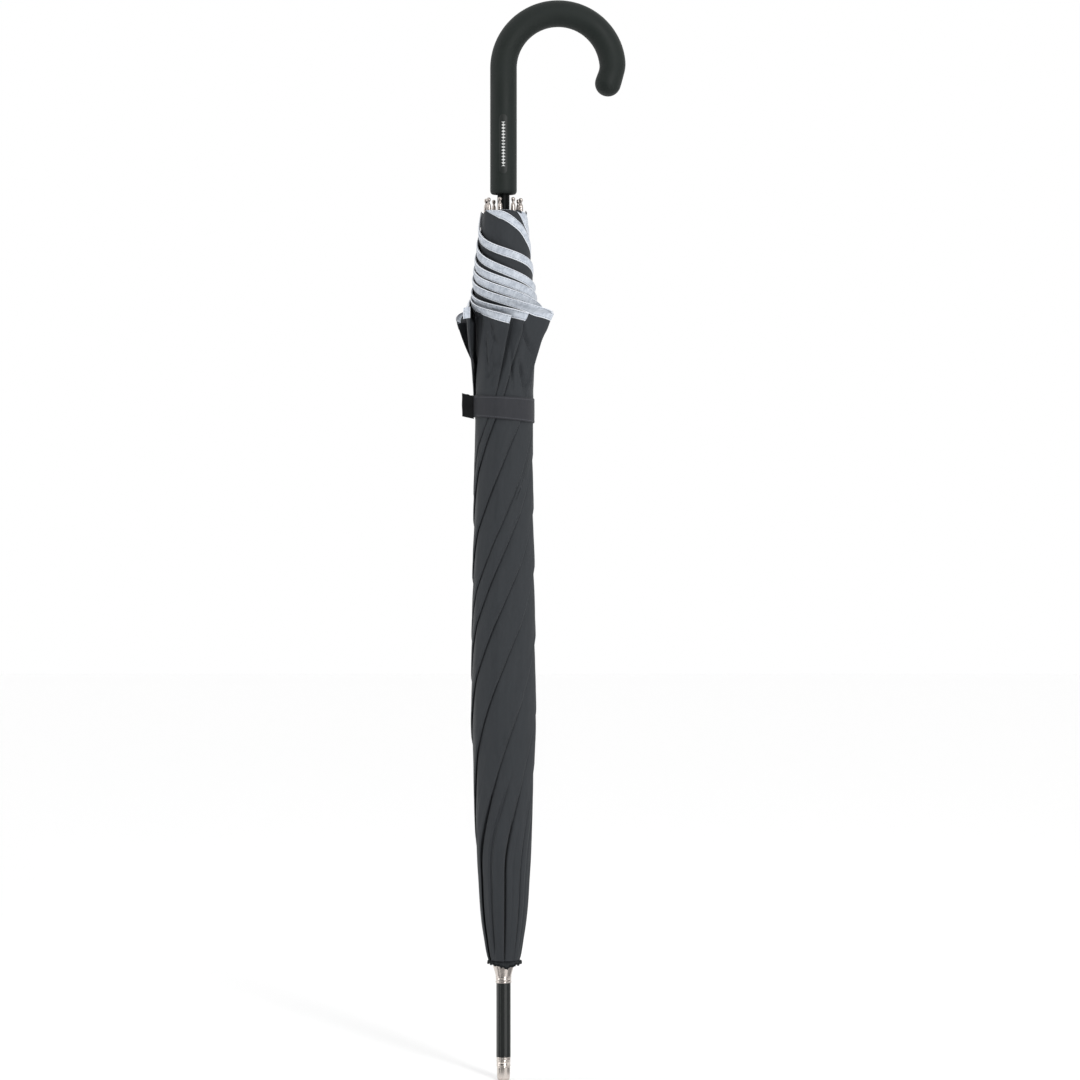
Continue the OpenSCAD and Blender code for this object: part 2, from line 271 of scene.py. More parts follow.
def stitches(nt, vec, rows, pitch):
    """1 on the stitches that run along U at the heights V in rows, else 0."""
    thread = 0.0002
    axes = separate(nt, vec)
    dash = calc(nt, "GREATER_THAN", wave(nt, axes[0], pitch), -0.35)
    total = None
    for at in rows:
        off = calc(nt, "ABSOLUTE", calc(nt, "SUBTRACT", axes[1], at))
        row = times(nt, calc(nt, "LESS_THAN", off, thread), dash)
        total = row if total is None else calc(nt, "MAXIMUM", total, row)
    return total


# ---------------------------------------------------------------- materials
def cloth(name, color, light, rough=0.72, pitch=0.0006, strength=0.35, rows=()):
    """Closely woven umbrella cloth with threads pitch metres apart and faint slubs. UV is in metres."""
    mat, nt, bsdf = material(name, color, rough, Sheen_Weight=0.08, Sheen_Roughness=0.4,
                             Specular_IOR_Level=0.2)
    vec = coords(nt, "UV")
    axes = separate(nt, vec)
    weave = times(nt, wave(nt, axes[0], 2 * pitch), wave(nt, axes[1], 2 * pitch))
    slub = noise(nt, coords(nt, "UV", (1, 0.12, 1)), 260.0, 3.0, 0.6)
    cloud = noise(nt, vec, 28.0, 4.0, 0.55)
    base = ramp(nt, halves(nt, slub, cloud), [(0.3, color), (0.72, light)])
    if rows:
        base = paint(nt, stitches(nt, vec, rows, 0.0021), base, [c * 2.3 for c in light])
    nt.links.new(base, bsdf.inputs["Base Color"])
    gloss(nt, bsdf, cloud, (0.3, rough - 0.08), (0.7, rough + 0.08))
    crumple = noise(nt, coords(nt, "UV", (1, 0.35, 1)), 45.0, 3.0)
    first = bump(nt, bsdf, crumple, 0.16, 0.0009)
    bump(nt, bsdf, weave, strength, 0.00006, first)
    return mat


def binding_cloth(name, color, light):
    """Ribbed silver hem tape with a painted highlight along its folded edges, and two rows of stitches across
    V in metres.
    """
    mat, nt, bsdf = material(name, color, 0.55, Sheen_Weight=0.2, Specular_IOR_Level=0.4)
    vec = coords(nt, "UV")
    axes = separate(nt, vec)
    fine = noise(nt, coords(nt, "UV", (1, 0.5, 1)), 420.0, 3.0, 0.6)
    cloud = noise(nt, vec, 190.0, 3.0)
    base = ramp(nt, halves(nt, fine, cloud), [(0.38, color), (0.6, light)])
    middle, lit_edge_w, stitch_in = BAND * MM / 2, 0.00055, 0.0010
    off = calc(nt, "ABSOLUTE", calc(nt, "SUBTRACT", axes[1], middle))
    # painted highlight: a pale strip along both folded edges of the tape, where the fold catches the light
    base = paint(nt, calc(nt, "GREATER_THAN", off, middle - lit_edge_w), base, (0.74, 0.77, 0.82))
    row = stitches(nt, vec, (stitch_in, BAND * MM - stitch_in), 0.0024)
    base = paint(nt, row, base, (color[0] * 0.62, color[1] * 0.63, color[2] * 0.66))
    nt.links.new(base, bsdf.inputs["Base Color"])
    height = calc(nt, "ADD", times(nt, wave(nt, axes[0], 0.0007), 0.5), times(nt, row, -1.5))
    bump(nt, bsdf, calc(nt, "ADD", height, times(nt, fine, 1.2)), 0.4, 0.00009)
    return mat


def soft_plastic(name, color, light, rough=0.6):
    """Matte rubber-like coating with a fine grain and faint handling marks."""
    mat, nt, bsdf = material(name, color, rough, Specular_IOR_Level=0.22, Sheen_Weight=0.04,
                             Sheen_Roughness=0.4)
    grain = noise(nt, coords(nt), 2600.0, 2.0)
    cloud = noise(nt, coords(nt), 38.0, 5.0, 0.6)
    nt.links.new(ramp(nt, cloud, [(0.35, color), (0.7, light)]), bsdf.inputs["Base Color"])
    gloss(nt, bsdf, cloud, (0.3, rough - 0.07), (0.7, rough + 0.09))
    bump(nt, bsdf, grain, 0.25, 0.00005)
    return mat


def marked_plastic(name, color, light):
    """A printed plate: a plain row of pale lozenges along V, on a UV in metres."""
    mat = soft_plastic(name, color, light, 0.42)
    nt, bsdf = mat.node_tree, mat.node_tree.nodes["Principled BSDF"]
    axes = separate(nt, coords(nt, "UV"))
    wide, pitch, reach = 0.0017, 0.0026, 0.0182
    across = calc(nt, "DIVIDE", calc(nt, "ABSOLUTE", axes[0]), wide)
    along = calc(nt, "ABSOLUTE", wave(nt, axes[1], 2 * pitch))
    inside = calc(nt, "LESS_THAN", calc(nt, "ADD", across, times(nt, along, 0.95)), 1.0)
    ends = calc(nt, "LESS_THAN", calc(nt, "ABSOLUTE", axes[1]), reach)
    base = bsdf.inputs["Base Color"].links[0].from_socket
    nt.links.new(paint(nt, times(nt, inside, ends), base, (0.62, 0.63, 0.62)), bsdf.inputs["Base Color"])
    return mat


def plated(name, color, rough=0.16):
    """Plated metal with faint polishing marks and uneven gloss."""
    mat, nt, bsdf = material(name, color, rough, 1.0)
    vec = coords(nt)
    cloud = noise(nt, vec, 120.0, 3.0)
    gloss(nt, bsdf, cloud, (0.3, max(rough - 0.05, 0.03)), (0.75, rough + 0.14))
    dull = [c * 0.86 for c in color]
    nt.links.new(ramp(nt, cloud, [(0.3, dull), (0.65, color)]), bsdf.inputs["Base Color"])
    bump(nt, bsdf, noise(nt, vec, 900.0, 3.0), 0.12, 0.00004)
    return mat


def lacquer(name, color, rough=0.28, coat=0.35, sheen=0.5):
    """Black stoving lacquer over steel with slight orange peel."""
    mat, nt, bsdf = material(name, color, rough, Coat_Weight=coat, Coat_Roughness=0.12,
                             Specular_IOR_Level=sheen)
    cloud = noise(nt, coords(nt), 60.0, 4.0)
    light = [c * 1.7 for c in color]
    nt.links.new(ramp(nt, cloud, [(0.35, color), (0.75, light)]), bsdf.inputs["Base Color"])
    gloss(nt, bsdf, cloud, (0.3, rough - 0.06), (0.7, rough + 0.1))
    bump(nt, bsdf, noise(nt, coords(nt), 700.0, 2.0), 0.15, 0.00006)
    return mat


CANOPY = cloth("canopy_cloth", (0.0268, 0.0302, 0.0340), (0.0353, 0.0388, 0.0435))
STRAP = cloth("strap_cloth", (0.0270, 0.0283, 0.0325), (0.0360, 0.0370, 0.0425), pitch=0.0007, strength=0.5,
              rows=(0.0015, 0.0184))
TAB = cloth("tab_cloth", (0.0025, 0.0030, 0.0035), (0.006, 0.0065, 0.007), rough=0.85, pitch=0.0010,
            strength=0.8)
ROSETTE = cloth("rosette_cloth", (0.020, 0.023, 0.025), (0.030, 0.034, 0.037), rough=0.7)
RIM = cloth("rosette_rim", (0.0015, 0.0030, 0.0032), (0.007, 0.010, 0.011), rough=0.7, pitch=0.0009,
            strength=0.8)
BINDING = binding_cloth("binding_cloth", (0.37, 0.41, 0.47), (0.58, 0.62, 0.68))
HANDLE = soft_plastic("handle_plastic", (0.0098, 0.0135, 0.0120), (0.0140, 0.0182, 0.0166))
LABEL = marked_plastic("label_plastic", (0.016, 0.019, 0.018), (0.024, 0.027, 0.026))
RUNNER = soft_plastic("runner_plastic", (0.006, 0.0065, 0.007), (0.011, 0.0115, 0.012), rough=0.42)
NICKEL = plated("nickel", (0.68, 0.62, 0.575), 0.2)
CAPMET = plated("cap_nickel", (0.69, 0.63, 0.582), 0.22)
TIPMET = plated("tip_nickel", (0.47, 0.425, 0.395), 0.2)
PINMET = plated("pin_steel", (0.50, 0.48, 0.46), 0.25)
CAST = plated("cast_metal", (0.45, 0.45, 0.44), 0.38)
LACQ = lacquer("ferrule_black", (0.0035, 0.0050, 0.0045), 0.16)
SATIN = lacquer("shaft_black", (0.0012, 0.0020, 0.0019), 0.45, coat=0.0, sheen=0.1)
RIBMET = lacquer("rib_black", (0.008, 0.008, 0.0085), 0.35)

# ---------------------------------------------------------------- CAD pieces that show as they are
for names, mat, slot in (
    (["shaft_tube"], SATIN, "shaft_black"),
    (["ferrule_tube"], LACQ, "shaft_black"),
    (["crown_pin", "notch_pins", "runner_pins", "runner_stop", "catch_pins"], PINMET, "pin_steel"),
    (["bottom_catch", "top_catch"], PINMET, "catch_steel"),
    (["top_notch"], CAST, "notch_metal"),
    (["runner_sleeve"], RUNNER, "runner_plastic"),
    ([f"stretcher_{i}" for i in range(1, 9)], RIBMET, "stretcher_steel"),
):
    for n in names:
        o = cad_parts[n]
        o.data.materials.clear()
        o.data.materials.append(mat)

# ---------------------------------------------------------------- furled canopy
# profile of the furled cloth's corners: height and radius
OUT_Z = [99, 101, 107, 115, 132, 148, 165, 181, 198, 231, 264, 297, 346, 395, 445, 478, 537, 566, 574, 587,
         606, 626, 633, 638, 645, 656, 663, 678, 699, 712, 717]
OUT_R = [13.1, 13.8, 15.1, 16.4, 19.0, 20.5, 21.4, 22.5, 23.4, 24.7, 25.8, 27.2, 26.9, 26.3, 25.5, 25.0, 24.5,
         24.6, 25.6, 27.6, 33.2, 39.4, 41.9, 33.0, 27.6, 26.0, 25.2, 23.3, 20.9, 19.4, 19.0]
FOLD_Z = [99, 172, 250, 516, 564]
# bearing of each fold edge at those heights and at its corner, how far the corner stands off,
# and how deep the pleat beside it is near the crown
FOLDS = [
    ([272, 272, 311, 566, 615, 642], 0.50, 3.6),
    ([309, 310, 345, 585, 631, 667], 0.58, 0.3),
    ([350, 352, 388, 637, 685, 717], 1.02, 0.7),
    ([390, 392, 435, 685, 732, 766], 0.75, 0.8),
    ([425, 427, 468, 712, 759, 798], 0.8, 0.6),
    ([470, 472, 510, 756, 803, 845], 0.75, 0.9),
    ([520, 522, 560, 804, 851, 905], 0.97, 0.6),
    ([567, 568, 616, 854, 901, 940], 0.62, 0.7),
]
# height of each hem by degrees past its rib tip, down to the corner
HEMS = [
    [(0, 716), (30, 715.6), (59, 713.2), (87, 707), (104, 701), (180, 679), (291, 643.5), (383.25, 628)],
    [(0, 716), (30, 714.5), (60, 708), (90, 699), (150, 680), (246, 648), (363.25, 630.4)],
    [(0, 716), (30, 712), (60, 704), (120, 686), (201, 659.2), (368.25, 631.5)],
    [(0, 716), (30, 710), (80, 694), (156, 667.4), (321, 639.4), (372.25, 630)],
    [(0, 716), (25, 709), (60, 695), (111, 675.7), (276, 646.8), (359.25, 630)],
    [(0, 716), (20, 707), (66, 687.2), (231, 655), (361.25, 629)],
    [(0, 716), (8, 709.5), (21, 701.5), (186, 672.4), (376.25, 624.2)],
    [(0, 716), (45, 715.4), (104, 704.5), (136, 692.5), (200, 673), (364.25, 634)],
]
CREASES = [  # soft creases drawn in by the strap: bearing and height at both ends, depth, half width in mm
    (243, 629, 264, 584, 1.5, 1.9), (256, 618, 251, 566, 0.9, 1.5), (232, 622, 240, 572, 1.0, 1.6),
    (297, 628, 330, 598, 1.5, 2.2), (300, 598, 318, 562, 1.3, 1.7), (334, 622, 322, 566, 1.0, 1.8),
    (283, 606, 289, 566, 0.8, 1.3), (352, 620, 338, 570, 1.2, 2.0), (18, 616, 4, 566, 1.1, 2.0),
    (60, 622, 44, 566, 1.2, 2.0), (104, 618, 92, 568, 1.1, 1.9), (150, 624, 138, 566, 1.2, 2.0),
    (188, 618, 180, 570, 1.0, 1.8),
]
CURVES = []
for points in HEMS:
    past_tip = np.linspace(0, points[-1][0], 400)
    CURVES.append((past_tip * RAD, pchip(past_tip, [p[0] for p in points], [p[1] for p in points])))
TIPS = [(PHASE + STEP + STEP * k) * RAD for k in range(8)]
FACE = 1.45  # how far in from its edge a flap is finely divided, radians


def r_core(z):
    """Radius of the bundle without its corners."""
    plain = 24.6 + 1.3 * smooth01((z - FLARE_Z) / 60)
    return np.where((z > FLARE_Z) & (z < 656), plain, pchip(z, OUT_Z, OUT_R))


def flare(z):
    return np.maximum(pchip(z, OUT_Z, OUT_R) - r_core(z), 0)


def r_in(z):
    """Radius at which the cloth reaches the ribs."""
    return 10.6 + (z - HUB_Z) * 0.0105


def corner_z(k):
    return HEMS[k % 8][-1][1]


def hem_angle(k, z):
    """Angle from flap k's rib tip to its hem at height z."""
    angles, levels = CURVES[k % 8]
    return np.interp(-np.asarray(z, float), -levels, angles)


def edge(k, z):
    """Bearing in radians of flap k's outer edge: its fold below the corner, its hem above."""
    low = pchip(z, FOLD_Z + [corner_z(k)], FOLDS[k % 8][0]) * RAD
    return np.where(z <= corner_z(k), low, TIPS[k % 8] + hem_angle(k, z)) + (k // 8) * TURN


def span(k, z):
    """How far round flap k is wound at height z, in radians."""
    full = HEMS[k % 8][-1][0] * RAD
    low = np.maximum(1.25, full * (z - HUB_Z) / (corner_z(k) - HUB_Z))
    return np.where(z <= corner_z(k), low, np.maximum(hem_angle(k, z), 0.02))


def gap(k, z):
    """Angle from flap k's edge to the edge of the flap before it."""
    return edge(k, z) - (edge(k - 1, z) if k % 8 else edge(7, z) - TURN)


def creases(a, z):
    """How far the creases draw the cloth in at bearing a (radians) and height z."""
    total = 0 * (a + z)
    for b0, z0, b1, z1, deep, wide in CREASES:
        t = (z0 - z) / (z0 - z1)
        off = np.mod(a - (b0 + (b1 - b0) * t) * RAD + math.pi, TURN) - math.pi
        x = np.abs(off) * 29 / (wide * (0.7 + 0.6 * (1 - np.clip(t, 0, 1))))
        valley = deep * np.exp(-x * (0.4 + 0.6 * np.minimum(x, 2)))
        total = total + valley * smooth01(t / 0.3) * smooth01((1.03 - t) / 0.2)
    return total


def radius(k, z, d):
    """Radius of flap k's outer face at height z, d radians inward from its edge."""
    core = r_core(z)
    slope = np.minimum((core - r_in(z)) / span(k, z), np.where(z < FLARE_Z, 1.5, 2.6))
    inward = np.maximum(d, 0)
    wing = bell(inward / 0.5) if k % 8 == 7 else np.exp(-inward / 0.42)
    r = core - slope * d + FOLDS[k % 8][1] * flare(z) * wing
    g = gap(k, z)
    low = smooth01((265 - z) / 80)
    high = smooth01((z - FLARE_Z) / 50) * (1 - smooth01((z - 622) / 16))
    # the cloth dips where it runs under the flap before it, and again along the rib seam near the crown
    deep = 0.85 + 6.2 * low * smooth01((z - 96) / 14) + 3.0 * high
    deep = np.minimum(deep, np.maximum(core - 12, 0.5))
    r = r - deep * bell((d - g - 0.02) / (0.055 + 0.015 * low + 0.16 * high)) * (z < HEM_Z - 40)
    r = r - 1.1 * low * FOLDS[k % 8][2] * bell((d - 0.5 * g) / 0.05) * smooth01((z - 100) / 20)
    # rounded fold edge and a soft fullness between the folds
    r = r - 0.45 * np.exp(-inward / 0.022) + 0.28 * bell((d - 0.045) / 0.03) * (z < HEM_Z - 60)
    r = r + 0.35 * np.sin(np.clip(d / np.maximum(g, 0.2), 0, 1) * math.pi) * (z < 560)
    # loose and creased above the strap, tight under it
    loose = smooth01((z - 562) / 40) * smooth01((645 - z) / 15)
    r = r + 1.3 * loose * waves(d * 27, (z - 626) * 0.12, 60 + k, 5, 0.03, 0.075)
    r = r - 2.4 * creases(edge(k, z) - d, z)
    # the cloth is stretched flat from rib to rib
    beta = np.mod(edge(k, z) - d - TIPS[0], 2 * HALF_GORE) - HALF_GORE
    r = r + 0.25 - 0.42 * (1 - math.cos(HALF_GORE) / np.cos(beta)) * core * smooth01((570 - z) / 60)
    tight = 1 - 0.85 * bell((z - 553) / 16)
    return r + (0.2 + 0.25 * low) * tight * waves(d * 25, z * 0.35, 20 + k)


def wound(k, z, d, lift):
    """Point on flap k, lift mm off its outer face."""
    a, r = edge(k, z) - d, radius(k, z, d) + lift
    return np.stack([r * np.cos(a), r * np.sin(a), z + 0 * a], -1)


def columns(k, z):
    """Columns across flap k at height z, close together at its fold edge and where flap k-1 covers it."""
    g = np.clip(gap(k, z), 0.35, 1.2)[:, None]
    fine, half = np.linspace(0, 1, 12)[None], 0.5 * g
    coarse = fine[:, ::2] / fine[0, 10]
    return np.concatenate([np.array([[0, 0.008, 0.02, 0.04]]) + 0 * g, 0.06 + (half - 0.15) * coarse,
                           half - 0.07 + 0.14 * fine[:, 1:], half + 0.09 + (half - 0.24) * coarse,
                           g - 0.115 + 0.23 * fine, g + 0.15 + (FACE - g - 0.15) * coarse], 1)


heights = np.unique(np.concatenate([np.arange(99, 540, 3.0), np.arange(540, 716, 1.5), [716.0],
                                    *[[corner_z(k), corner_z(k) + 0.3] for k in range(8)]]))


def flap(k):
    """Points and UVs of flap k: its outer face, its rounded edge and its inner face."""
    z, s = heights[:, None], span(k, heights)[:, None]
    near = columns(k, heights) * np.minimum(1, s / FACE)
    far = near[:, -1:] + (s - near[:, -1:]) * np.linspace(0, 1, 15)[None, 1:]
    d = np.concatenate([near, far], 1)
    back = d[:, np.linspace(1, d.shape[1] - 1, 16).astype(int)]
    points = np.concatenate([wound(k, z, d, 0)[:, ::-1], wound(k, z, 0 * z - 0.010, -0.22),
                             wound(k, z, back, -0.42)], 1)
    inward = np.concatenate([d[:, ::-1], 0 * z, back], 1)
    side = np.concatenate([np.ones(d.shape[1] + 1), -np.ones(back.shape[1])])[None]
    # the weave runs along the rib seam, so UV is the cut cloth's own grid
    return points, uv_grid((s - inward) * 0.024 * side, z * MM)


verts, faces, uv = merged([flap(k) for k in range(8)])
furled = make("canopy_furled", verts, faces, CANOPY, uv)

# silver tape over the hem of each flap, and of the layer under it: distance across it and lift off the cloth
TAPES = [
    (np.array([-0.15, 0.0, 0.3, 0.9, 2.0, 3.2, 4.4, 5.6, 6.3, BAND]),
     np.array([-0.30, 0.05, 0.26, 0.34, 0.36, 0.36, 0.36, 0.34, 0.26, 0.02])),
    (np.array([-0.1, 0.3, 1.2, 2.6]), np.array([-0.62, -0.45, -0.42, -0.55])),
]
START = {0: (46, 40), 7: (0, 48)}  # two tapes widen slowly: from where, and over how many degrees


def tape_run(k, layer):
    """Points and UVs of the tape along flap k's hem."""
    across, lifts = TAPES[layer]
    first = 1.5 * RAD if k in START else hem_angle(k, 715.2)
    past = np.linspace(first, HEMS[k][-1][0] * RAD, 170)
    hem = np.interp(past, *CURVES[k])
    if layer:
        hem = np.minimum(hem + 0.9 + 0.5 * np.sin(past * 1.4 + k), HEM_Z)
    r = radius(k, hem, 0 * past)
    along = np.cumsum(np.concatenate([[0], np.hypot(np.diff(past) * r[1:], np.diff(hem))]))
    tx, tz = np.gradient(past) * r, np.gradient(hem)
    tx, tz = tx / np.hypot(tx, tz), tz / np.hypot(tx, tz)
    wide = 1 + 0 * past
    if k in START:
        wide = np.clip((past - START[k][0] * RAD) / (START[k][1] * RAD), 0.02, 1)
    cross = across[None] * wide[:, None]
    z = np.clip(hem[:, None] - tx[:, None] * cross, 610, HEM_Z)
    a = (TIPS[k] + past)[:, None] + tz[:, None] * cross / r[:, None]
    points = wound(k, z, np.maximum(edge(k, z) - a, 0.0), lifts[None] + 0 * z)
    return points, uv_grid(along[:, None] * MM, np.maximum(across, 0)[None] * MM)


verts, faces, uv = merged([tape_run(k, layer) for k in range(8) for layer in (0, 1)], flip=True)
tape = make("hem_binding_furled", verts, faces, BINDING, uv)

# the end of the last flap's tape curls out beside its corner
rows, cols = 12, 10
u, w = np.meshgrid(np.linspace(0, 1, rows), np.linspace(0, 1, cols), indexing="ij")
bow = 0.9 * (2 * u - 1) ** 2
curl = [np.stack([-27.0 - 5.7 * u, -24.8 - 2.2 * u + bow + s, 635.8 - 1.1 * u - 9.0 * w], -1)
        for s in (-0.25, 0.35)]
faces = np.concatenate([grid_faces(rows, cols), grid_faces(rows, cols, rows * cols, flip=True)])
uv = np.concatenate([uv_grid(w * 0.009, u * BAND * MM)] * 2)
curl_end = make("hem_tape_end", np.concatenate(curl).reshape(-1, 3), faces, BINDING, uv)

# gathered cloth close round the rib tips, seen between the hems
GATHER_Z, GATHER_H = 640, 75
rows, cols = 26, 160
a = around(cols)
points, uv = [], []
for z in np.linspace(GATHER_Z, GATHER_Z + GATHER_H, rows):
    q = (z - GATHER_Z) / GATHER_H
    top = 1.0 - 1.6 * np.sin((a - TIPS[0]) * 4) ** 2 * smooth01((q - 0.8) / 0.2)
    r = 18.2 - 0.7 * q + 0.9 * bell((z - 701) / 9) + 0.35 * np.sin((a - TIPS[0]) * 8 + 0.6)
    r = r + 0.25 * waves(a * 17, z * 0.4 + 0 * a, 71)
    points.append(np.stack([r * np.cos(a), r * np.sin(a), z + top - 1.0], -1))
    uv.append(uv_grid(a * 0.018, z * MM))
collar_cloth = make("canopy_gather", np.concatenate(points), grid_faces(rows, cols, close_cols=True), CANOPY,
                    np.concatenate(uv))

for o in (furled, tape, curl_end, collar_cloth):
    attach(o, "shaft")
    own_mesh(o)
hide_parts("canopy")


# ---------------------------------------------------------------- ribs
def rib_axes(i):
    """Outward and sideways directions of rib i, its long and outer axes when furled, and its hinge."""
    a = bearing(i)
    up = np.array([0, 0, 1.0])
    u = np.array([math.cos(a), math.sin(a), 0])
    t = np.array([-math.sin(a), math.cos(a), 0])
    d = math.sin(LEAN) * u + math.cos(LEAN) * up
    x = math.cos(LEAN) * u - math.sin(LEAN) * up
    return u, t, d, x, HINGE_R * u + HUB_Z * up


def on_rib(i, local):
    """Points (x away from the shaft, y across, s along) of rib i in the shared frame."""
    u, t, d, x, p = rib_axes(i)
    local = np.asarray(local, float)
    return p + local[..., :1] * x + local[..., 1:2] * t + local[..., 2:3] * d


def channel_section(w, inner, low, web, top, r=0.25):
    """Section of a folded channel: outer and inner width, mouth, inside of the web, top, and corner."""
    return np.array([(low, -w / 2), (top - r, -w / 2), (top, -w / 2 + r), (top, w / 2 - r), (top - r, w / 2),
                     (low, w / 2), (low, inner / 2), (web, inner / 2), (web, -inner / 2), (low, -inner / 2)])


def rib_channel():
    """The channel in a rib's own coordinates; it narrows from the stiff rib to the springy rod."""
    along = [[3.0], np.linspace(5, 290, 12), np.linspace(300, 474, 30), np.linspace(480, 606, 10)]
    along = np.concatenate(along)
    k = smooth01((along - 300) / 170)[:, None, None]
    stiff = channel_section(3.2, 2.4, -1.2, 1.45, 1.9)
    springy = channel_section(2.5, 1.6, -0.9, 0.9, 1.35)
    section = stiff[None] * (1 - k) + springy[None] * k
    return np.concatenate([section, np.repeat(along[:, None, None], len(stiff), 1)], 2)


def rivet(at, r, half, n=20):
    """A pin across the rib at a place along it; half is half its length, and its ends are rounded."""
    ang = around(n)
    rings = [np.stack([r * q * np.cos(ang), np.full(n, y), at + r * q * np.sin(ang)], -1)
             for y, q in ((-half, 0.55), (-half, 0.9), (-half + 0.12, 1.0),
                          (half - 0.12, 1.0), (half, 0.9), (half, 0.55))]
    return np.stack(rings)


# a rib's channel, the eye on its hub pin, its two joint rivets and its tongue in the hub
TONGUE = np.array([[(x, y, s) for x, y in ((-0.85, -0.85), (0.85, -0.85), (0.85, 0.85), (-0.85, 0.85))]
                   for s in (0.8, 5.0)])
RIB_PARTS = [rib_channel(), rivet(0.0, 1.2, 0.9), rivet(LINK, 1.0, 1.85), rivet(BEND_S, 0.8, 1.75), TONGUE]
# crimped cup, neck and pierced ball: radius and place along the rib
TIP_PROFILE = [
    (0.0, 607.4), (1.2, 607.4), (2.1, 607.9), (2.3, 608.8), (2.2, 610.5), (1.95, 614.0), (1.8, 616.4),
    (1.45, 617.3), (1.02, 618.0), (0.88, 618.7), (1.0, 619.3), (1.36, 619.8), (1.62, 620.6), (1.66, 621.3),
    (1.45, 622.0), (0.98, 622.5), (0.4, 622.7), (0.0, 622.72),
]

for i in range(1, 9):
    verts, faces, base = [], [], 0
    for part in RIB_PARTS:
        verts.append(on_rib(i, part).reshape(-1, 3))
        faces.append(grid_faces(part.shape[0], part.shape[1], base, close_cols=True))
        base += part.shape[0] * part.shape[1]
    ob = make(f"rib_bar_{i}", np.concatenate(verts), np.concatenate(faces), RIBMET, smooth=False)
    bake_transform(ob)
    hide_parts(f"rib_{i}", f"rod_{i}")

    v, f = lathe(TIP_PROFILE, 28)
    ob = make(f"rib_tip_{i}", on_rib(i, v), f, TIPMET)
    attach(ob, f"rod_{i}")
    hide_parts(f"tip_{i}")

# ---------------------------------------------------------------- spread cloth
# each piece is folded to a strip along an odd rib while the umbrella is furled
WIDE = 3.2  # width of the folded strip
SCALLOP = 11  # how far the hem runs in between two ribs


def turn(p, centre, axis, ang):
    """Points turned about an axis through centre."""
    q = p - centre
    c, s = np.cos(ang)[..., None], np.sin(ang)[..., None]
    return centre + q * c + np.cross(axis, q) * s + axis * (q @ axis)[..., None] * (1 - c)


def gore(i, part, s0, s1, lifts, name, mat, rows=46, cols=73, hem=False):
    """Cloth from rib i over two gores: furled it's a strip beside the rib, open it spans a quarter turn."""
    u, t, d, x, P = rib_axes(i)
    B = on_rib(i, [0, 0, BEND_S])
    up = np.array([0, 0, 1.0])
    back = turn(up[None], np.zeros(3), t, np.array([-OPEN]))[0]
    foot = turn(np.array([[0, 0, HUB_Z]]), P, t, np.array([-OPEN]))[0]
    beta = np.linspace(0, 90, cols)
    from_mid = (beta % STEP) * RAD - HALF_GORE
    beta_g = np.abs(from_mid)
    mid = 1 - beta_g / HALF_GORE
    flat = 1 - (1 - np.cos(HALF_GORE) / np.cos(beta_g)) * 0.93
    off = (0.5 - np.sin(np.arcsin(1 - 2 * beta / 90) / 3)) * WIDE
    hem_s = TIP_S - SCALLOP * np.sin(mid * math.pi / 2) ** 1.5
    v, uv = [], []
    for r in range(rows):
        q = r / (rows - 1)
        top = s1 if part == "in" else hem_s
        s = hem_s - TAPE * (1 - q) if hem else s0 + (top - s0) * q + 0 * beta
        w = smooth01((s - 295) / 170)
        lift = lifts + 2.35 - 0.5 * smooth01((s - 560) / 50)
        p = on_rib(i, np.stack([lift + 0 * s, 0 * s, s], -1))
        p = turn(p, B, t, -FLEX * w)
        # chords between the ribs, measured from the shaft's axis as the open rib sees it
        f0 = foot + ((p - foot) @ back)[:, None] * back
        share = flat[:, None] if s0 > 30 or r > 3 else (1 - (1 - flat) * min(1, r / 4))[:, None]
        p = f0 + (p - f0) * share
        if part == "out":
            p = turn(p, B, t, np.full(cols, FLEX))
        v.append(p + off[:, None] * t)
        if hem:
            uv.append(uv_grid(beta * RAD * 560 * MM, q * TAPE * MM))
        else:
            uv.append(uv_grid(s * np.sin(from_mid) * MM, s * MM))
    ob = make(name, np.concatenate(v), grid_faces(rows, cols), mat, np.concatenate(uv))
    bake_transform(ob)
    return ob


for i in (1, 3, 5, 7):
    a = gore(i, "in", 2.0, BEND_S, 0, f"gore_cloth_in_{i}", CANOPY)
    b = gore(i, "out", BEND_S, TIP_S, 0, f"gore_cloth_out_{i}", CANOPY, rows=36)
    h = gore(i, "out", BEND_S, TIP_S, 0.35, f"hem_tape_out_{i}", BINDING, rows=5, hem=True)
    h2 = gore(i, "out", BEND_S, TIP_S, -0.35, f"hem_tape_in_{i}", BINDING, rows=5, hem=True)
    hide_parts(f"gore_in_{i}")
    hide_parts(f"gore_out_{i}")

# ---------------------------------------------------------------- strap
STRAP_R = 24.75  # radius of its inner face
STRAP_SECTION = [  # distance off that radius and height over its lower edge
    (0.0, 0.25), (0.45, 0.05), (0.75, 0.6), (0.8, 1.5), (0.72, 2.6), (0.78, 5.0), (0.8, 10.0), (0.78, 15.0),
    (0.72, 17.4), (0.8, 18.5), (0.75, 19.4), (0.45, 19.95), (0.0, 19.75),
]
cols = 240
a = around(cols)
foot, head = 543.85 - 2.55 * np.cos(a), 562.7 - 1.1 * np.cos(a)
rings = []
for r, z in STRAP_SECTION:
    rr = STRAP_R + r + 0.22 * waves(a * 25, 0 * a, 5, 5, 0.01, 0.04)
    rr = rr + 0.12 * waves(a * 25, 0 * a + z, 6, 4, 0.02, 0.07)
    rings.append(np.stack([rr * np.cos(a), rr * np.sin(a), foot + (head - foot) * z / 20], -1))
across = np.array([z for _, z in STRAP_SECTION])[:, None]
faces = grid_faces(len(STRAP_SECTION), cols, close_cols=True)
strap = make("wrap_strap", np.concatenate(rings), faces, STRAP, uv_grid(a[None] * 0.0255, across * MM))
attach(strap, "rod_1")
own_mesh(strap)
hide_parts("strap")

